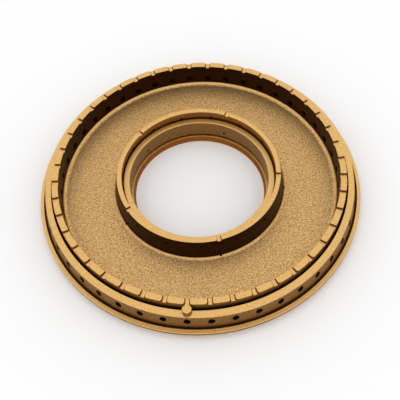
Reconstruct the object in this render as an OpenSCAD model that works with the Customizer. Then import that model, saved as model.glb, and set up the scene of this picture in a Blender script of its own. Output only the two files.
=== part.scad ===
// Gas burner head: a one-piece brass ring that holds the gas chamber of a hob burner.
// Millimetres, +Z up. The origin is on the ring's axis, in the plane that its foot stands on.
// The locating lug points towards -Y.

/* [Flange] */
// Outer diameter of the bottom flange
flange_d = 132; // [124:0.5:142]
// Height of the flange's underside above the plane that the foot stands on
flange_lift = 2.5; // [1.5:0.1:4]
// Height of the flange's vertical edge
flange_edge_h = 1.5; // [1:0.1:2.5]
// Width of the lower land, the flange's outermost flat step
lower_land_w = 0.95; // [0.5:0.05:1.5]
// Rise from the lower land to the upper land
land_step_h = 0.6; // [0.3:0.05:1]
// Width of the upper land
upper_land_w = 0.6; // [0.4:0.05:1]
// Width of the relief groove at the foot of the ported band
relief_w = 0.6; // [0.4:0.05:0.9]
// Depth of the relief groove below the upper land
relief_depth = 0.7; // [0.4:0.05:1.1]
// Radial width of the ring that the flange and the band stand on, seen from below
rim_w = 11.5; // [10:0.1:14]

/* [Ported band] */
// Height of the band from the upper land to its top edge
band_h = 6.25; // [5.5:0.05:8]
// Lean of the band towards the axis, in degrees
band_draft = 9.4; // [0:0.1:12]
// Number of flame ports, and of the notches above them
port_count = 44; // [30:2:48]
// Diameter of a flame port
port_d = 2.7; // [1.8:0.05:3]
// Height of the port axes above the chamber floor
port_rise = 3.3; // [2.6:0.05:4]

/* [Crown] */
// Radial width of the sloping face between the band and the moat
ring_face_w = 2.5; // [1.8:0.05:3.2]
// Slope of that face, in degrees, high towards the axis
ring_face_slope = 20.8; // [5:0.1:30]
// Width of the moat between the sloping face and the crown wall
moat_w = 0.85; // [0.6:0.05:1.2]
// Depth of the moat below the inner edge of the sloping face
moat_depth = 5.8; // [4:0.1:6.4]
// Thickness of the crown wall at its top
crown_t = 2.5; // [2:0.05:3]
// Height of the crown wall above the inner edge of the sloping face
crown_rise = 3.4; // [2.5:0.05:4.5]
// Lean of the crown wall's inner face, in degrees
crown_draft = 1.7; // [0:0.1:5]
// Width of a crown notch at its top
notch_w = 2.2; // [1.6:0.05:2.6]
// Width of a crown notch at its floor
notch_floor_w = 1.35; // [1:0.05:1.5]
// Depth of a crown notch
notch_depth = 0.85; // [0.5:0.05:1.4]
// Rounding of the outer corners between the notches, seen from above
corner_r = 0.9; // [0.4:0.1:1.2]

/* [Locating lug] */
// Diameter of the lug
lug_d = 3.6; // [3:0.1:4.2]
// How far the lug's front stays behind the band's top edge
lug_setback = 0.1; // [0.05:0.05:0.5]
// Direction of the lug, in degrees from +X
lug_angle = 270; // [0:1:360]

/* [Chamber] */
// Depth of the chamber from the top of the crown to the floor
chamber_depth = 10.3; // [9:0.1:11]
// Thickness of the floor
floor_t = 1.9; // [1.2:0.1:2.6]
// Fillet between the floor and the crown wall
crown_fillet = 1.8; // [0.6:0.1:2.2]
// Fillet between the floor and the hub
hub_fillet = 1.4; // [0.6:0.1:1.8]

/* [Hub] */
// Diameter of the bore
bore_d = 56.8; // [50:0.1:60]
// How far the hub's top lies below the top of the crown
hub_set_down = 0.7; // [0:0.1:1.5]
// Width of the flat ring on top of the hub
hub_ring_w = 1.9; // [1.4:0.05:2.4]
// Lean of the hub's outer face, in degrees
hub_draft = 8.5; // [0:0.1:10]
// Depth of the ledge below the hub's top
ledge_depth = 3.8; // [3:0.05:4.6]
// Width of the ledge
ledge_w = 2.3; // [1.8:0.05:2.8]
// Width of the groove between the ledge and the hub's ring
groove_w = 0.55; // [0.4:0.05:0.8]
// Depth of that groove below the ledge
groove_depth = 1.5; // [0.6:0.1:2]
// Number of notches in the hub's ring
hub_notch_count = 5; // [3:1:8]
// Width of a hub notch at its top
hub_notch_w = 1.9; // [1.4:0.05:2.4]
// Width of a hub notch at its floor
hub_notch_floor_w = 1.3; // [0.8:0.05:1.4]
// Depth of a hub notch
hub_notch_depth = 0.8; // [0.4:0.05:1.2]
// Number of small ports between the groove and the chamber
groove_port_count = 15; // [9:3:18]
// Diameter of a groove port
groove_port_d = 1.1; // [0.8:0.05:1.3]
// Height of the groove ports' axes above the ledge
groove_port_rise = 0.65; // [0.6:0.05:1]
// Diameter of the ports between the chamber and the bore
bore_port_d = 1.1; // [0.8:0.05:1.3]
// Height of the bore ports' axes above the chamber floor
bore_port_rise = 0.7; // [0.7:0.05:1.4]

/* [Foot] */
// Width of the foot that the ring stands on
foot_w = 3.8; // [3:0.1:5]
// Diameter of the opening at the bottom of the foot
opening_d = 53.4; // [46:0.1:54]
// Height of the seat ring at the bottom of the bore
seat_h = 2.6; // [2:0.1:3]
// Width of the seat ring inside the bore
seat_w = 0.7; // [0.4:0.05:1]
// Height of the relief at the bottom of the bore
bore_relief_h = 0.7; // [0.4:0.05:1]
// Depth of that relief in the bore's wall
bore_relief_depth = 0.4; // [0.2:0.05:0.8]
// Width of the small step halfway down the opening's sloping wall
throat_step_w = 0.15; // [0.1:0.05:0.3]

/* [Hidden] */
$fn = 96;
// Extra reach of a cutter past the face that it opens
over = 1;
// How far a notch's flared mouth laps inside the notch's sides
mouth_lap = 0.1;
// Number of short edges in a fillet
fillet_steps = 6;

// Radii, from the flange inwards
flange_r = flange_d / 2;
upper_land_r = flange_r - lower_land_w;
relief_out_r = upper_land_r - upper_land_w;
relief_in_r = relief_out_r - relief_w;
band_top_r = relief_in_r - (band_h + relief_depth) * tan(band_draft);
moat_out_r = band_top_r - ring_face_w;
crown_out_r = moat_out_r - moat_w;
crown_in_r = crown_out_r - crown_t;
crown_foot_r = crown_in_r - chamber_depth * tan(crown_draft);
rim_in_r = flange_r - rim_w;

// Heights, from the plane that the foot stands on
lower_land_z = flange_lift + flange_edge_h;
upper_land_z = lower_land_z + land_step_h;
relief_z = upper_land_z - relief_depth;
band_top_z = upper_land_z + band_h;
ring_face_z = band_top_z + ring_face_w * tan(ring_face_slope);
moat_z = ring_face_z - moat_depth;
crown_top_z = ring_face_z + crown_rise;
floor_z = crown_top_z - chamber_depth;
port_z = floor_z + port_rise;
notch_z = crown_top_z - notch_depth;

// The hub, from the bore outwards
bore_r = bore_d / 2;
groove_in_r = bore_r + ledge_w;
groove_out_r = groove_in_r + groove_w;
hub_top_r = groove_out_r + hub_ring_w;
hub_top_z = crown_top_z - hub_set_down;
hub_foot_r = hub_top_r + (hub_top_z - floor_z) * tan(hub_draft);
ledge_z = hub_top_z - ledge_depth;
groove_z = ledge_z - groove_depth;
hub_notch_z = hub_top_z - hub_notch_depth;
groove_port_z = ledge_z + groove_port_rise;
bore_port_z = floor_z + bore_port_rise;

// The foot
opening_r = opening_d / 2;
seat_in_r = bore_r - seat_w;
throat_mid_r = (seat_in_r + opening_r) / 2;
bore_bottom_z = seat_h + bore_relief_h;
foot_out_r = opening_r + foot_w;

// Points on an arc about [r, z], from angle a to angle b
function arc(r, z, radius, a, b) =
    [for (i = [0 : fillet_steps])
        let (t = a + (b - a) * i / fillet_steps)
        [r + radius * cos(t), z + radius * sin(t)]];

// Length along the floor that a fillet takes up beside a wall that leans by the angle lean
function fillet_run(radius, lean) = radius / tan((90 + lean) / 2);

underside = [
    [opening_r, 0],
    [foot_out_r, 0],
    [foot_out_r, floor_z - floor_t],
    [rim_in_r, floor_z - floor_t],
    [rim_in_r, flange_lift]
];

flange_steps = [
    [flange_r, flange_lift],
    [flange_r, lower_land_z],
    [upper_land_r, lower_land_z],
    [upper_land_r, upper_land_z],
    [relief_out_r, upper_land_z],
    [relief_out_r, relief_z],
    [relief_in_r, relief_z]
];

band_and_moat = [
    [band_top_r, band_top_z],
    [moat_out_r, ring_face_z],
    [moat_out_r, moat_z],
    [crown_out_r, moat_z]
];

crown_wall = concat(
    [[crown_out_r, crown_top_z], [crown_in_r, crown_top_z]],
    arc(crown_foot_r - fillet_run(crown_fillet, crown_draft), floor_z + crown_fillet, crown_fillet,
        -crown_draft, -90)
);

hub_wall = concat(
    arc(hub_foot_r + fillet_run(hub_fillet, hub_draft), floor_z + hub_fillet, hub_fillet,
        270, 180 + hub_draft),
    [[hub_top_r, hub_top_z], [groove_out_r, hub_top_z]]
);

ledge_and_bore = [
    [groove_out_r, groove_z],
    [groove_in_r, groove_z],
    [groove_in_r, ledge_z],
    [bore_r, ledge_z],
    [bore_r, bore_bottom_z],
    [bore_r + bore_relief_depth, bore_bottom_z],
    [bore_r + bore_relief_depth, seat_h]
];

seat_and_throat = [
    [seat_in_r, seat_h],
    [throat_mid_r + throat_step_w / 2, seat_h / 2],
    [throat_mid_r - throat_step_w / 2, seat_h / 2]
];

// Everything that is turned about the axis
module turned_ring() {
    rotate_extrude($fn = 360)
        polygon(concat(underside, flange_steps, band_and_moat, crown_wall,
                       hub_wall, ledge_and_bore, seat_and_throat));
}

// Copies of the children at even angles about the axis
module around(count, first) {
    for (i = [0 : count - 1])
        rotate([0, 0, first + i * 360 / count])
            children();
}

// A hole along the radius, between two radii
module radial_hole(d, from_r, to_r, z) {
    translate([from_r, 0, z])
        rotate([0, 90, 0])
            cylinder(d = d, h = to_r - from_r, $fn = 48);
}

// A slot along the radius that is wider at its mouth, open upwards
module radial_slot(top_w, floor_w, depth, from_r, to_r, z) {
    mouth_w = floor_w + (top_w - floor_w) * (depth + over) / depth;
    translate([from_r, 0, z])
        rotate([90, 0, 90])
            linear_extrude(height = to_r - from_r)
                polygon([
                    [-floor_w / 2, 0],
                    [floor_w / 2, 0],
                    [mouth_w / 2, depth + over],
                    [-mouth_w / 2, depth + over]
                ]);
}

// The flared mouth of a notch, which rounds the corners on both sides of it
module notch_mouth() {
    centre_y = notch_w / 2 + corner_r - mouth_lap;
    translate([crown_out_r - corner_r, 0, notch_z])
        linear_extrude(height = notch_depth + over)
            difference() {
                translate([0, -centre_y])
                    square([corner_r + moat_w / 2, 2 * centre_y]);
                translate([0, centre_y])
                    circle(r = corner_r, $fn = 48);
                translate([0, -centre_y])
                    circle(r = corner_r, $fn = 48);
            }
}

// One notch over each flame port, cut across the top of the crown wall
module crown_notches() {
    around(port_count, lug_angle) {
        radial_slot(notch_w, notch_floor_w, notch_depth, crown_in_r - over,
                    crown_out_r + moat_w / 2, notch_z);
        notch_mouth();
    }
}

// Notches across the hub's ring
module hub_notches() {
    around(hub_notch_count, lug_angle + 90)
        radial_slot(hub_notch_w, hub_notch_floor_w, hub_notch_depth, groove_out_r - groove_w / 2,
                    hub_top_r + over, hub_notch_z);
}

// The lug stands in the moat, and its top is level with the floor of the notch behind it
module locating_lug() {
    rotate([0, 0, lug_angle])
        translate([band_top_r - lug_setback - lug_d / 2, 0, moat_z - over])
            cylinder(d = lug_d, h = notch_z - moat_z + over, $fn = 64);
}

// Flame ports run straight through the crown wall, the moat and the band
module flame_ports() {
    around(port_count, lug_angle)
        radial_hole(port_d, crown_foot_r - over, flange_r + over, port_z);
}

// Small ports from the groove into the chamber, halfway between the hub's notches
module groove_ports() {
    around(groove_port_count, lug_angle + 90 + 180 / groove_port_count)
        radial_hole(groove_port_d, groove_out_r - groove_w / 2, hub_foot_r + over, groove_port_z);
}

// Small ports from the chamber into the bore, in line with the hub's notches
module bore_ports() {
    around(hub_notch_count, lug_angle + 90)
        radial_hole(bore_port_d, bore_r - over, hub_foot_r + hub_fillet + over, bore_port_z);
}

module burner_head() {
    color([0.76, 0.60, 0.36])
        difference() {
            union() {
                difference() {
                    turned_ring();
                    crown_notches();
                    hub_notches();
                }
                locating_lug();
            }
            flame_ports();
            groove_ports();
            bore_ports();
        }
}

burner_head();
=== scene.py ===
import math
import bpy
import bmesh
from mathutils import Matrix, Vector


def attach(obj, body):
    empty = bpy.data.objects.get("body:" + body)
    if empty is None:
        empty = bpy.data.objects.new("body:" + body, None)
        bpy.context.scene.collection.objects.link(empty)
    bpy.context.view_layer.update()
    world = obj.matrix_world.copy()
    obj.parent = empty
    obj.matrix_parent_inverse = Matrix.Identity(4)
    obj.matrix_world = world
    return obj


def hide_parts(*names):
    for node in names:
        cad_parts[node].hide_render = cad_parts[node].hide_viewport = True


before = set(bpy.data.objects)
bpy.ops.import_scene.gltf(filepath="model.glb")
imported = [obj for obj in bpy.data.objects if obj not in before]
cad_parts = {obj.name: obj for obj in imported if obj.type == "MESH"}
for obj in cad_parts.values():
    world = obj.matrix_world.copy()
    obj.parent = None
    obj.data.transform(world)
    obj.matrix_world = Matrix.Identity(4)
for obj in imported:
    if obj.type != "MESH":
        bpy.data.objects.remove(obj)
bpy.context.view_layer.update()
mm = 0.001

# ---- camera: the photo's view, from the lug's side and a little to its right
cameraSettings = {
    "distance": 321.5,      # mm, from the point on the axis that the view turns about
    "elevation": 55.46,     # degrees above the horizon
    "azimuth": -82.6,       # degrees from +X
    "roll": 4.15,           # degrees
    "pan": -0.04,           # degrees
    "tilt": -0.86,          # degrees
    "aimHeight": 2.5,       # mm above the foot
    "focalPixels": 771.2,   # in the photo's pixels
    "centre": (200.0, 200.0),
}


def makeCamera(s):
    data = bpy.data.cameras.new("camera")
    camera = bpy.data.objects.new("camera", data)
    bpy.context.scene.collection.objects.link(camera)
    data.sensor_fit = "HORIZONTAL"
    data.sensor_width = 36.0
    data.lens = s["focalPixels"] / 400.0 * 36.0
    data.shift_x = (200.0 - s["centre"][0]) / 400.0
    data.shift_y = (s["centre"][1] - 200.0) / 400.0
    data.clip_start = 0.01
    data.clip_end = 20.0
    e = math.radians(s["elevation"])
    a = math.radians(s["azimuth"])
    outward = Vector((math.cos(a), math.sin(a), 0.0))
    forward = (-outward * math.cos(e) - Vector((0, 0, 1)) * math.sin(e)).normalized()
    right = forward.cross(Vector((0, 0, 1))).normalized()
    up = right.cross(forward)
    place = (outward * math.cos(e) + Vector((0, 0, 1)) * math.sin(e)) * s["distance"] * mm
    place.z += s["aimHeight"] * mm
    # pan and tilt turn the view by a little, then roll turns the picture
    p, t = math.radians(s["pan"]), math.radians(s["tilt"])
    forward2 = (forward + right * math.tan(p) + up * math.tan(t)).normalized()
    right2 = forward2.cross(up).normalized()
    up2 = right2.cross(forward2)
    c, k = math.cos(math.radians(s["roll"])), math.sin(math.radians(s["roll"]))
    axisX = right2 * c - up2 * k
    axisY = right2 * k + up2 * c
    camera.matrix_world = Matrix((
        (axisX.x, axisY.x, -forward2.x, place.x),
        (axisX.y, axisY.y, -forward2.y, place.y),
        (axisX.z, axisY.z, -forward2.z, place.z),
        (0, 0, 0, 1)))
    bpy.context.scene.camera = camera
    return camera


makeCamera(cameraSettings)
print("camera made")


# ---- colours and shader nodes
def linearColour(hexColour):
    values = [int(hexColour[i:i + 2], 16) / 255.0 for i in (0, 2, 4)]
    return tuple(v / 12.92 if v <= 0.04045 else ((v + 0.055) / 1.055) ** 2.4 for v in values) + (1.0,)


# One node: settings that name a property set it, inputs go by name or number.
def addNode(tree, kind, links=(), **settings):
    node = tree.nodes.new(kind)
    inputs = settings.pop("inputs", {})
    for name, value in settings.items():
        setattr(node, name, value)
    for key, value in inputs.items():
        node.inputs[key].default_value = value
    for key, source in dict(links).items():
        tree.links.new(source, node.inputs[key])
    return node


# ---- materials
# machined and tumbled faces: pale warm gold with a fine matt grain
brassFaces = {
    "name": "brassTumbled", "colour": "f0c680", "dark": "d9a862", "roughness": 0.4,
    "grainSize": 0.45, "grainDepth": 0.02, "grainStrength": 0.25, "mottle": 0.3,
}
# chamber floor: duller gold, speckled by the casting's coarse grain
brassFloor = {
    "name": "brassAsCast", "colour": "f0c88a", "dark": "ad8048", "roughness": 0.5,
    "grainSize": 0.6, "grainDepth": 0.06, "grainStrength": 0.5, "mottle": 0.3,
}
# chamber walls, moat, grooves and port holes: painted shade, a dark brown in place of the shade in these
# hollows, which sets off the bright tops
brassWallsPaintedShade = {
    "name": "brassCastSkin", "colour": "4a2c10", "dark": "241203", "roughness": 0.5,
    "grainSize": 0.6, "grainDepth": 0.03, "grainStrength": 0.3, "mottle": 0.4,
}
# ported band, bore and other upright faces: painted shade, a mid brown in place of the dimmer light on upright
# faces
brassBandPaintedShade = {
    "name": "brassTurned", "colour": "9c743f", "dark": "744f26", "roughness": 0.45,
    "grainSize": 0.45, "grainDepth": 0.02, "grainStrength": 0.25, "mottle": 0.3,
}
# lip of the through hole: orange brown, darker than the faces
brassThroat = {
    "name": "brassHeatTinted", "colour": "b87838", "dark": "874d1f", "roughness": 0.45,
    "grainSize": 0.45, "grainDepth": 0.02, "grainStrength": 0.25, "mottle": 0.3,
}


def makeBrass(s):
    material = bpy.data.materials.new(s["name"])
    material.use_nodes = True
    tree = material.node_tree
    tree.nodes.clear()
    output = addNode(tree, "ShaderNodeOutputMaterial")
    shader = addNode(tree, "ShaderNodeBsdfPrincipled",
                     inputs={"Metallic": 1.0, "Roughness": s["roughness"]})
    tree.links.new(shader.outputs["BSDF"], output.inputs["Surface"])
    place = addNode(tree, "ShaderNodeTexCoord")
    grain = addNode(tree, "ShaderNodeTexNoise", {"Vector": place.outputs["Object"]},
                    inputs={"Scale": 1.0 / (s["grainSize"] * mm), "Detail": 3.0, "Roughness": 0.6})
    tone = addNode(tree, "ShaderNodeMapRange", {"Value": grain.outputs["Fac"]},
                   inputs={"From Min": 0.5 - s["mottle"] * 0.5,
                           "From Max": 0.5 + s["mottle"] * 0.5})
    mix = addNode(tree, "ShaderNodeMix", {"Factor": tone.outputs["Result"]}, data_type="RGBA")
    mix.inputs[6].default_value = linearColour(s["dark"])
    mix.inputs[7].default_value = linearColour(s["colour"])
    tree.links.new(mix.outputs[2], shader.inputs["Base Color"])
    bump = addNode(tree, "ShaderNodeBump", {"Height": grain.outputs["Fac"]},
                   inputs={"Strength": s["grainStrength"], "Distance": s["grainDepth"] * mm})
    tree.links.new(bump.outputs["Normal"], shader.inputs["Normal"])
    return material


# faces and floor are the brass's own surfaces; walls and band are painted shade, the roundings' faces finish a
# painted highlight, and throat an orange brown
finishesAndPaintedShades = ["faces", "floor", "walls", "band", "throat"]
materials = {
    "faces": makeBrass(brassFaces),
    "floor": makeBrass(brassFloor),
    "walls": makeBrass(brassWallsPaintedShade),
    "band": makeBrass(brassBandPaintedShade),
    "throat": makeBrass(brassThroat),
}
print("materials made")

# ---- the burner head, in mm; the sizes are those of the CAD part
head = {
    "segments": 264,
    "flangeR": 66.0, "flangeLift": 2.5, "flangeEdgeH": 1.5,
    "lowerLandW": 0.95, "landStepH": 0.6, "upperLandW": 0.6,
    "reliefW": 0.6, "reliefDepth": 0.7, "rimW": 11.5,
    "bandH": 6.25, "bandDraft": 9.4, "ports": 44, "portD": 2.7, "portRise": 3.3,
    "ringFaceW": 2.5, "ringFaceSlope": 20.8, "moatW": 0.85, "moatDepth": 5.8,
    "crownT": 2.5, "crownRise": 3.4, "crownDraft": 1.7,
    "notchW": 2.2, "notchFloorW": 1.35, "notchDepth": 0.85, "cornerR": 0.9,
    "lugD": 3.6, "lugSetback": 0.1,
    "chamberDepth": 10.3, "floorT": 1.9, "crownFillet": 1.8, "hubFillet": 1.4,
    "boreR": 28.4, "hubSetDown": 0.7, "hubRingW": 1.9, "hubDraft": 8.5,
    "ledgeDepth": 3.8, "ledgeW": 2.3, "grooveW": 0.55, "grooveDepth": 1.5,
    "hubNotches": 5, "hubNotchW": 1.9, "hubNotchFloorW": 1.3, "hubNotchDepth": 0.8,
    "groovePorts": 15, "groovePortD": 1.1, "groovePortRise": 0.65,
    "borePortD": 1.1, "borePortRise": 0.7,
    "footW": 3.8, "openingR": 26.7, "seatH": 2.6, "seatW": 0.7,
    "boreReliefH": 0.7, "boreReliefDepth": 0.4, "throatStep": 0.15,
    "ease": 0.2,            # rounding of the edges, which catches a bright line; it is also painted in the pale faces finish as a highlight
    "easeSmall": 0.1,
}


# Adds the radii and heights that follow from the named sizes.
def headSizes(s):
    tan = lambda degrees: math.tan(math.radians(degrees))
    d = dict(s)
    d["upperLandR"] = d["flangeR"] - d["lowerLandW"]
    d["reliefOutR"] = d["upperLandR"] - d["upperLandW"]
    d["reliefInR"] = d["reliefOutR"] - d["reliefW"]
    d["bandTopR"] = d["reliefInR"] - (d["bandH"] + d["reliefDepth"]) * tan(d["bandDraft"])
    d["moatOutR"] = d["bandTopR"] - d["ringFaceW"]
    d["crownOutR"] = d["moatOutR"] - d["moatW"]
    d["crownInR"] = d["crownOutR"] - d["crownT"]
    d["crownFootR"] = d["crownInR"] - d["chamberDepth"] * tan(d["crownDraft"])
    d["rimInR"] = d["flangeR"] - d["rimW"]
    d["lowerLandZ"] = d["flangeLift"] + d["flangeEdgeH"]
    d["upperLandZ"] = d["lowerLandZ"] + d["landStepH"]
    d["reliefZ"] = d["upperLandZ"] - d["reliefDepth"]
    d["bandTopZ"] = d["upperLandZ"] + d["bandH"]
    d["ringFaceZ"] = d["bandTopZ"] + d["ringFaceW"] * tan(d["ringFaceSlope"])
    d["moatZ"] = d["ringFaceZ"] - d["moatDepth"]
    d["crownTopZ"] = d["ringFaceZ"] + d["crownRise"]
    d["floorZ"] = d["crownTopZ"] - d["chamberDepth"]
    d["portZ"] = d["floorZ"] + d["portRise"]
    d["notchZ"] = d["crownTopZ"] - d["notchDepth"]
    d["grooveInR"] = d["boreR"] + d["ledgeW"]
    d["grooveOutR"] = d["grooveInR"] + d["grooveW"]
    d["hubTopR"] = d["grooveOutR"] + d["hubRingW"]
    d["hubTopZ"] = d["crownTopZ"] - d["hubSetDown"]
    d["hubFootR"] = d["hubTopR"] + (d["hubTopZ"] - d["floorZ"]) * tan(d["hubDraft"])
    d["ledgeZ"] = d["hubTopZ"] - d["ledgeDepth"]
    d["grooveZ"] = d["ledgeZ"] - d["grooveDepth"]
    d["hubNotchZ"] = d["hubTopZ"] - d["hubNotchDepth"]
    d["groovePortZ"] = d["ledgeZ"] + d["groovePortRise"]
    d["borePortZ"] = d["floorZ"] + d["borePortRise"]
    d["seatInR"] = d["boreR"] - d["seatW"]
    d["throatMidR"] = (d["seatInR"] + d["openingR"]) / 2
    d["boreBottomZ"] = d["seatH"] + d["boreReliefH"]
    d["footOutR"] = d["openingR"] + d["footW"]
    return d


# The section's corners, anticlockwise: radius, height, rounding, and the finish of the edge
# that follows.
def headCorners(d):
    e, s = d["ease"], d["easeSmall"]
    return [
        (d["openingR"], 0, e, "faces"),
        (d["footOutR"], 0, e, "faces"),
        (d["footOutR"], d["floorZ"] - d["floorT"], 0, "faces"),
        (d["rimInR"], d["floorZ"] - d["floorT"], 0, "faces"),
        (d["rimInR"], d["flangeLift"], e, "faces"),
        (d["flangeR"], d["flangeLift"], e, "band"),
        (d["flangeR"], d["lowerLandZ"], e, "faces"),
        (d["upperLandR"], d["lowerLandZ"], s, "band"),
        (d["upperLandR"], d["upperLandZ"], s, "faces"),
        (d["reliefOutR"], d["upperLandZ"], s, "walls"),
        (d["reliefOutR"], d["reliefZ"], 0, "walls"),
        (d["reliefInR"], d["reliefZ"], 0, "band"),
        (d["bandTopR"], d["bandTopZ"], e, "faces"),
        (d["moatOutR"], d["ringFaceZ"], s, "walls"),
        (d["moatOutR"], d["moatZ"], 0, "walls"),
        (d["crownOutR"], d["moatZ"], 0, "band"),
        (d["crownOutR"], d["crownTopZ"], e, "faces"),
        (d["crownInR"], d["crownTopZ"], e, "walls"),
        (d["crownFootR"], d["floorZ"], d["crownFillet"], "floor"),
        (d["hubFootR"], d["floorZ"], d["hubFillet"], "walls"),
        (d["hubTopR"], d["hubTopZ"], e, "faces"),
        (d["grooveOutR"], d["hubTopZ"], e, "band"),
        (d["grooveOutR"], d["grooveZ"], 0, "walls"),
        (d["grooveInR"], d["grooveZ"], 0, "walls"),
        (d["grooveInR"], d["ledgeZ"], s, "faces"),
        (d["boreR"], d["ledgeZ"], e, "band"),
        (d["boreR"], d["boreBottomZ"], s, "walls"),
        (d["boreR"] + d["boreReliefDepth"], d["boreBottomZ"], 0, "walls"),
        (d["boreR"] + d["boreReliefDepth"], d["seatH"], 0, "faces"),
        (d["seatInR"], d["seatH"], s, "throat"),
        (d["throatMidR"] + d["throatStep"] / 2, d["seatH"] / 2, 0, "throat"),
        (d["throatMidR"] - d["throatStep"] / 2, d["seatH"] / 2, 0, "throat"),
    ]


# Corner list to a closed outline of (radius, height, finish), with each rounded corner an
# arc and a support point on both sides of it that keeps the flats' shading flat.
def roundedOutline(corners, steps=3, support=0.05):
    outline = []
    n = len(corners)
    for i, (r, z, rounding, finish) in enumerate(corners):
        before = corners[i - 1]
        after = corners[(i + 1) % n]
        here = Vector((r, z))
        if rounding <= 0:
            outline.append((r, z, finish))
            continue
        a = (Vector(before[:2]) - here).normalized()
        b = (Vector(after[:2]) - here).normalized()
        half = math.acos(max(-1.0, min(1.0, a.dot(b)))) / 2
        run = rounding / math.tan(half)
        centre = here + (a + b).normalized() * rounding / math.sin(half)
        start = here + a * run
        end = here + b * run
        # a small rounding takes the pale faces finish, a painted highlight; a large fillet has a painted
        # highlight line, in the faces finish, between the finish of the edge before and the finish of the edge
        # after
        arcFinishesAndHighlights = ["faces"] * steps if rounding < 1 else [before[3], "faces", finish]
        outline.append((*(start + a * support), before[3]))
        for k in range(steps + 1):
            t = k / steps
            u = (start - centre).normalized()
            v = (end - centre).normalized()
            angle = math.acos(max(-1.0, min(1.0, u.dot(v))))
            w = (u * math.sin((1 - t) * angle) + v * math.sin(t * angle)) / math.sin(angle)
            point = centre + w * rounding
            outline.append((point.x, point.y, arcFinishesAndHighlights[k] if k < steps else finish))
        outline.append((*(end + b * support), finish))
    return outline


def meshObject(name, points, edges=(), faces=()):
    mesh = bpy.data.meshes.new(name)
    mesh.from_pydata([tuple(c * mm for c in p) for p in points], list(edges), list(faces))
    obj = bpy.data.objects.new(name, mesh)
    bpy.context.scene.collection.objects.link(obj)
    return obj


def sectionObject(d):
    outline = roundedOutline(headCorners(d))
    points = [(r, 0, z) for r, z, finish in outline]
    edges = [(i, (i + 1) % len(points)) for i in range(len(points))]
    obj = meshObject("section", points, edges)
    attribute = obj.data.attributes.new("finish", "INT", "POINT")
    for i, (r, z, finish) in enumerate(outline):
        attribute.data[i].value = finishesAndPaintedShades.index(finish)
    return obj


# A closed prism: the outline's points, taken from start to end by place(u, v, w).
def prism(name, outline, start, end, place):
    n = len(outline)
    points = [place(u, v, start) for u, v in outline] + [place(u, v, end) for u, v in outline]
    faces = [tuple(range(n - 1, -1, -1)), tuple(range(n, 2 * n))]
    faces += [(i, (i + 1) % n, n + (i + 1) % n, n + i) for i in range(n)]
    obj = meshObject(name, points, faces=faces)
    bm = bmesh.new()
    bm.from_mesh(obj.data)
    bmesh.ops.recalc_face_normals(bm, faces=bm.faces)
    bm.to_mesh(obj.data)
    bm.free()
    return obj


# A slot with sloping sides and eased lips, along the radius.
def slotCutter(name, topW, floorW, depth, z, fromR, toR, ease):
    over = 1.0
    slope = (topW - floorW) / 2 / depth
    lip = []
    wall = math.atan(slope)               # the side's lean from upright
    for k in range(4):                    # the lip turns from the side's lean towards flat
        t = wall + (math.radians(80) - wall) * k / 3
        across = topW / 2 + ease * (1 - math.cos(t - wall)) - ease * 0.3
        up = depth - ease + ease * math.sin(t) / math.sin(math.radians(80))
        lip.append((across, up))
    side = [(floorW / 2, 0)] + lip + [(lip[-1][0] + 0.3, depth + 0.06),
                                      (lip[-1][0] + 0.3, depth + over)]
    outline = side + [(-u, v) for u, v in reversed(side)]
    return prism(name, outline, fromR, toR, lambda u, v, w: (w, u, z + v))


# Rounds the two corners beside a notch, seen from above.
def mouthCutter(d):
    r, lap = d["cornerR"], 0.1
    cy = d["notchW"] / 2 + r - lap
    cx = d["crownOutR"] - r
    quarter = [(cx + r * math.sin(math.radians(t)),
                cy - r * math.cos(math.radians(t))) for t in range(0, 91, 10)]
    side = quarter + [(d["crownOutR"] + d["moatW"] / 2, cy)]
    outline = side + [(u, -v) for u, v in reversed(side)]
    return prism("mouthCutter", outline, d["notchZ"], d["crownTopZ"] + 1, lambda u, v, w: (u, v, w))


def holeCutter(name, diameter, fromR, toR, z, sides=24):
    outline = [(diameter / 2 * math.cos(2 * math.pi * (k + 0.5) / sides),
                diameter / 2 * math.sin(2 * math.pi * (k + 0.5) / sides)) for k in range(sides)]
    return prism(name, outline, fromR, toR, lambda u, v, w: (w, u, z + v))


# The upright lug, with an eased top.
def lugObject(d):
    centre = d["bandTopR"] - d["lugSetback"] - d["lugD"] / 2
    r, ease, sides = d["lugD"] / 2, d["ease"], 48
    rings = [(r, d["moatZ"] - 1)]
    for k in range(4):
        t = math.radians(90 * k / 3)
        rings.append((r - ease + ease * math.cos(t), d["notchZ"] - ease + ease * math.sin(t)))
    points, faces = [], []
    for rr, z in rings:
        for k in range(sides):
            t = 2 * math.pi * k / sides
            points.append((centre + rr * math.cos(t), rr * math.sin(t), z))
    for i in range(len(rings) - 1):
        for k in range(sides):
            a, b = i * sides + k, i * sides + (k + 1) % sides
            faces.append((a, b, b + sides, a + sides))
    faces.append(tuple(range(sides - 1, -1, -1)))
    faces.append(tuple(range((len(rings) - 1) * sides, len(rings) * sides)))
    return meshObject("lug", points, faces=faces)


# ---- geometry nodes: a turned section, cut by patterns of cutters
def groupInput(tree, name, kind, value=None):
    item = tree.interface.new_socket(name, in_out="INPUT", socket_type=kind)
    if value is not None:
        item.default_value = value
    return item


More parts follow.
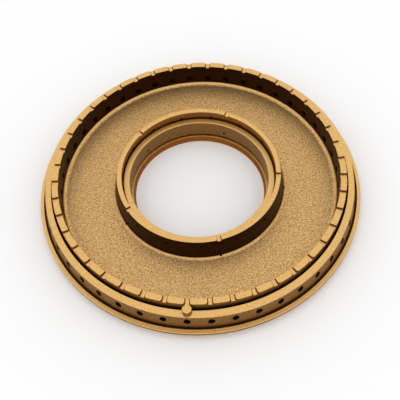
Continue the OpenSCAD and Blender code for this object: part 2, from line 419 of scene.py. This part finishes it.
# Section outline in, closed turned ring out.
def turnTree():
    tree = bpy.data.node_groups.new("turnSection", "GeometryNodeTree")
    groupInput(tree, "Section", "NodeSocketGeometry")
    groupInput(tree, "Segments", "NodeSocketInt", 264)
    tree.interface.new_socket("Ring", in_out="OUTPUT", socket_type="NodeSocketGeometry")
    source = addNode(tree, "NodeGroupInput")
    section, segments = source.outputs["Section"], source.outputs["Segments"]
    size = addNode(tree, "GeometryNodeAttributeDomainSize", {"Geometry": section})
    count = size.outputs["Point Count"]

    def whole(operation, a, b):
        node = addNode(tree, "FunctionNodeIntegerMath", operation=operation)
        for socket, value in zip(node.inputs, (a, b)):
            if isinstance(value, int):
                socket.default_value = value
            else:
                tree.links.new(value, socket)
        return node.outputs[0]

    def number(operation, a, b=0.0):
        node = addNode(tree, "ShaderNodeMath", operation=operation)
        for socket, value in zip(node.inputs, (a, b)):
            if isinstance(value, float):
                socket.default_value = value
            else:
                tree.links.new(value, socket)
        return node.outputs[0]

    rows = whole("ADD", segments, 1)
    grid = addNode(tree, "GeometryNodeMeshGrid",
                   {"Vertices X": whole("ADD", count, 1), "Vertices Y": rows})
    index = addNode(tree, "GeometryNodeInputIndex").outputs[0]
    point = whole("MODULO", whole("DIVIDE_FLOOR", index, rows), count)
    step = whole("MODULO", index, rows)
    position = addNode(tree, "GeometryNodeInputPosition").outputs[0]
    sample = addNode(tree, "GeometryNodeSampleIndex", data_type="FLOAT_VECTOR")
    tree.links.new(section, sample.inputs["Geometry"])
    tree.links.new(position, sample.inputs["Value"])
    tree.links.new(point, sample.inputs["Index"])
    parts = addNode(tree, "ShaderNodeSeparateXYZ", {0: sample.outputs[0]})
    angle = number("MULTIPLY", number("DIVIDE", step, segments), 2 * math.pi)
    x = number("MULTIPLY", parts.outputs[0], number("COSINE", angle))
    y = number("MULTIPLY", parts.outputs[0], number("SINE", angle))
    turned = addNode(tree, "ShaderNodeCombineXYZ", {0: x, 1: y, 2: parts.outputs[2]})
    ring = addNode(tree, "GeometryNodeSetPosition",
                   {"Geometry": grid.outputs["Mesh"], "Position": turned.outputs[0]})
    # each face takes the finish of the section's edge that it was turned from
    facePoint = whole("DIVIDE_FLOOR", index, segments)
    finish = addNode(tree, "GeometryNodeInputNamedAttribute", data_type="INT",
                     inputs={"Name": "finish"})
    faceFinish = addNode(tree, "GeometryNodeSampleIndex", data_type="INT")
    tree.links.new(section, faceFinish.inputs["Geometry"])
    tree.links.new(finish.outputs[0], faceFinish.inputs["Value"])
    tree.links.new(facePoint, faceFinish.inputs["Index"])
    stored = addNode(tree, "GeometryNodeStoreNamedAttribute", data_type="INT", domain="FACE",
                     inputs={"Name": "finish"})
    tree.links.new(ring.outputs[0], stored.inputs["Geometry"])
    tree.links.new(faceFinish.outputs[0], stored.inputs["Value"])
    flipped = addNode(tree, "GeometryNodeFlipFaces", {"Mesh": stored.outputs[0]})
    last = flipped.outputs[0]
    closed = addNode(tree, "GeometryNodeMergeByDistance", inputs={"Distance": 1e-6})
    tree.links.new(last, closed.inputs["Geometry"])
    sink = addNode(tree, "NodeGroupOutput")
    tree.links.new(closed.outputs[0], sink.inputs[0])
    return tree


# Copies of one object at even angles about the axis.
def aroundTree():
    tree = bpy.data.node_groups.new("aroundAxis", "GeometryNodeTree")
    groupInput(tree, "Object", "NodeSocketObject")
    groupInput(tree, "Count", "NodeSocketInt", 1)
    groupInput(tree, "First Angle", "NodeSocketFloat", 0.0)
    groupInput(tree, "Finish", "NodeSocketInt", 0)
    groupInput(tree, "Level Finish", "NodeSocketInt", 0)
    tree.interface.new_socket("Copies", in_out="OUTPUT", socket_type="NodeSocketGeometry")
    source = addNode(tree, "NodeGroupInput")
    one = addNode(tree, "GeometryNodeObjectInfo", {"Object": source.outputs["Object"]})
    points = addNode(tree, "GeometryNodePoints", {"Count": source.outputs["Count"]})
    index = addNode(tree, "GeometryNodeInputIndex").outputs[0]
    share = addNode(tree, "ShaderNodeMath", {0: index, 1: source.outputs["Count"]},
                    operation="DIVIDE")
    full = addNode(tree, "ShaderNodeMath", {0: share.outputs[0]}, operation="MULTIPLY")
    full.inputs[1].default_value = 2 * math.pi
    turn = addNode(tree, "ShaderNodeMath", {0: full.outputs[0], 1: source.outputs["First Angle"]},
                   operation="ADD")
    rotation = addNode(tree, "FunctionNodeAxisAngleToRotation", {"Angle": turn.outputs[0]},
                       inputs={"Axis": (0, 0, 1)})
    copies = addNode(tree, "GeometryNodeInstanceOnPoints",
                     {"Points": points.outputs[0], "Instance": one.outputs["Geometry"],
                      "Rotation": rotation.outputs[0]})
    real = addNode(tree, "GeometryNodeRealizeInstances", {"Geometry": copies.outputs[0]})
    marked = addNode(tree, "GeometryNodeStoreNamedAttribute", data_type="INT", domain="FACE",
                     inputs={"Name": "finish"})
    tree.links.new(real.outputs[0], marked.inputs["Geometry"])
    # level faces, such as a notch's floor or the lug's top, may have a finish of their own: the pale faces
    # finish on top while the upright sides keep the darker one, painted shade
    normal = addNode(tree, "GeometryNodeInputNormal").outputs[0]
    upward = addNode(tree, "ShaderNodeSeparateXYZ", {0: normal}).outputs[2]
    steep = addNode(tree, "ShaderNodeMath", {0: upward}, operation="ABSOLUTE").outputs[0]
    level = addNode(tree, "FunctionNodeCompare", {0: steep}, data_type="FLOAT",
                    operation="GREATER_THAN",
                    inputs={1: 0.7})
    chosen = addNode(tree, "GeometryNodeSwitch", input_type="INT")
    tree.links.new(level.outputs[0], chosen.inputs["Switch"])
    tree.links.new(source.outputs["Finish"], chosen.inputs["False"])
    tree.links.new(source.outputs["Level Finish"], chosen.inputs["True"])
    tree.links.new(chosen.outputs[0], marked.inputs["Value"])
    sink = addNode(tree, "NodeGroupOutput")
    tree.links.new(marked.outputs[0], sink.inputs[0])
    return tree


# The whole head: turn, then cut or join each pattern of copies in order.
def headTree(patterns):
    tree = bpy.data.node_groups.new("burnerHead", "GeometryNodeTree")
    groupInput(tree, "Section", "NodeSocketGeometry")
    groupInput(tree, "Segments", "NodeSocketInt", 264)
    for p in patterns:
        groupInput(tree, p["name"] + " Count", "NodeSocketInt", p["count"])
    tree.interface.new_socket("Head", in_out="OUTPUT", socket_type="NodeSocketGeometry")
    source = addNode(tree, "NodeGroupInput")
    ring = addNode(tree, "GeometryNodeGroup", node_tree=turnTree())
    tree.links.new(source.outputs["Section"], ring.inputs["Section"])
    tree.links.new(source.outputs["Segments"], ring.inputs["Segments"])
    around = aroundTree()
    last = ring.outputs[0]
    for p in patterns:
        copies = addNode(tree, "GeometryNodeGroup", node_tree=around,
                         inputs={"Object": p["object"], "First Angle": math.radians(p["first"]),
                                 "Finish": finishesAndPaintedShades.index(p["finish"]),
                                 "Level Finish": finishesAndPaintedShades.index(p.get("level", p["finish"]))})
        tree.links.new(source.outputs[p["name"] + " Count"], copies.inputs["Count"])
        cut = addNode(tree, "GeometryNodeMeshBoolean", operation=p["operation"], solver="MANIFOLD")
        if p["operation"] == "DIFFERENCE":
            tree.links.new(last, cut.inputs[0])
        else:
            tree.links.new(last, cut.inputs[1])
        tree.links.new(copies.outputs[0], cut.inputs[1])
        last = cut.outputs[0]
    for k, name in enumerate(finishesAndPaintedShades):
        read = addNode(tree, "GeometryNodeInputNamedAttribute", data_type="INT",
                       inputs={"Name": "finish"})
        same = addNode(tree, "FunctionNodeCompare", data_type="INT", operation="EQUAL")
        tree.links.new(read.outputs[0], same.inputs[2])
        same.inputs[3].default_value = k
        paint = addNode(tree, "GeometryNodeSetMaterial", inputs={"Material": materials[name]})
        tree.links.new(last, paint.inputs["Geometry"])
        tree.links.new(same.outputs[0], paint.inputs["Selection"])
        last = paint.outputs[0]
    sink = addNode(tree, "NodeGroupOutput")
    tree.links.new(last, sink.inputs[0])
    return tree


def makeHead(s):
    d = headSizes(s)
    section = sectionObject(d)
    patterns = [
        {"name": "Crown Notch", "operation": "DIFFERENCE", "count": d["ports"], "first": -90,
         "finish": "band", "level": "faces",
         "object": slotCutter("notchCutter", d["notchW"], d["notchFloorW"], d["notchDepth"],
                              d["notchZ"],
                              d["crownInR"] - 1, d["crownOutR"] + d["moatW"] / 2, d["ease"])},
        {"name": "Notch Mouth", "operation": "DIFFERENCE", "count": d["ports"], "first": -90,
         "finish": "band",
         "object": mouthCutter(d)},
        {"name": "Hub Notch", "operation": "DIFFERENCE", "count": d["hubNotches"], "first": 0,
         "finish": "band", "level": "faces",
         "object": slotCutter("hubNotchCutter", d["hubNotchW"], d["hubNotchFloorW"],
                              d["hubNotchDepth"],
                              d["hubNotchZ"], d["grooveOutR"] - d["grooveW"] / 2, d["hubTopR"] + 1, d["ease"])},
        {"name": "Lug", "operation": "UNION", "count": 1, "first": -90, "finish": "band",
         "level": "faces",
         "object": lugObject(d)},
        # the ports' insides take the walls finish, painted shade
        {"name": "Flame Port", "operation": "DIFFERENCE", "count": d["ports"], "first": -90,
         "finish": "walls",
         "object": holeCutter("portCutter", d["portD"], d["crownFootR"] - 1, d["flangeR"] + 1,
                              d["portZ"], 32)},
        {"name": "Groove Port", "operation": "DIFFERENCE", "count": d["groovePorts"], "first": 12,
         "finish": "walls",
         "object": holeCutter("groovePortCutter", d["groovePortD"],
                              d["grooveOutR"] - d["grooveW"] / 2,
                              d["hubFootR"] + 1, d["groovePortZ"])},
        {"name": "Bore Port", "operation": "DIFFERENCE", "count": d["hubNotches"], "first": 0,
         "finish": "walls",
         "object": holeCutter("borePortCutter", d["borePortD"], d["boreR"] - 1,
                              d["hubFootR"] + d["hubFillet"] + 1, d["borePortZ"])},
    ]
    section.modifiers.new("head", "NODES").node_group = headTree(patterns)
    bpy.context.view_layer.update()
    evaluated = section.evaluated_get(bpy.context.evaluated_depsgraph_get())
    mesh = bpy.data.meshes.new_from_object(evaluated)
    mesh.name = "burnerHeadSurface"
    obj = bpy.data.objects.new("burnerHeadSurface", mesh)
    bpy.context.scene.collection.objects.link(obj)
    for p in patterns:
        bpy.data.objects.remove(p["object"])
    bpy.data.objects.remove(section)
    # Set Material leaves an empty first slot, which goes
    slots = [m for m in mesh.materials if m]
    order = [slots.index(m) if m else 0 for m in mesh.materials]
    indices = [order[polygon.material_index] for polygon in mesh.polygons]
    mesh.materials.clear()
    for m in slots:
        mesh.materials.append(m)
    mesh.polygons.foreach_set("material_index", indices)
    mesh.attributes.remove(mesh.attributes["finish"])
    mesh.set_sharp_from_angle(angle=math.radians(32))
    for polygon in mesh.polygons:
        polygon.use_smooth = True
    return obj


surface = makeHead(head)
print("head made:", len(surface.data.vertices), "points,", len(surface.data.polygons), "faces,",
      [m.name if m else None for m in surface.data.materials])
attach(surface, "root")
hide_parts("burner_head")


# ---- the studio: a white floor under an even white sky
studio = {
    "floorColour": "ffffff", "floorSize": 4.0,
    "worldStrength": 1.0,    # white is white
}


def makeFloor(s):
    half = s["floorSize"] / 2
    corners = [(x * half / mm, y * half / mm, 0) for x, y in ((-1, -1), (1, -1), (1, 1), (-1, 1))]
    floor = meshObject("studioFloor", corners, faces=[(0, 1, 2, 3)])
    floor.location.z = -0.00005
    material = bpy.data.materials.new("studioFloor")
    material.use_nodes = True
    tree = material.node_tree
    tree.nodes.clear()
    output = addNode(tree, "ShaderNodeOutputMaterial")
    shader = addNode(tree, "ShaderNodeBsdfPrincipled",
                     inputs={"Roughness": 0.9, "Specular IOR Level": 0.0})
    shader.inputs["Base Color"].default_value = linearColour(s["floorColour"])
    tree.links.new(shader.outputs[0], output.inputs["Surface"])
    floor.data.materials.append(material)
    return floor


def makeWorld(s):
    world = bpy.data.worlds.new("studio")
    bpy.context.scene.world = world
    world.use_nodes = True
    tree = world.node_tree
    tree.nodes.clear()
    output = addNode(tree, "ShaderNodeOutputWorld")
    background = addNode(tree, "ShaderNodeBackground",
                         inputs={"Color": (1, 1, 1, 1), "Strength": s["worldStrength"]})
    tree.links.new(background.outputs[0], output.inputs["Surface"])


makeFloor(studio)
makeWorld(studio)
bpy.context.scene.view_settings.view_transform = "Standard"
print("studio made")
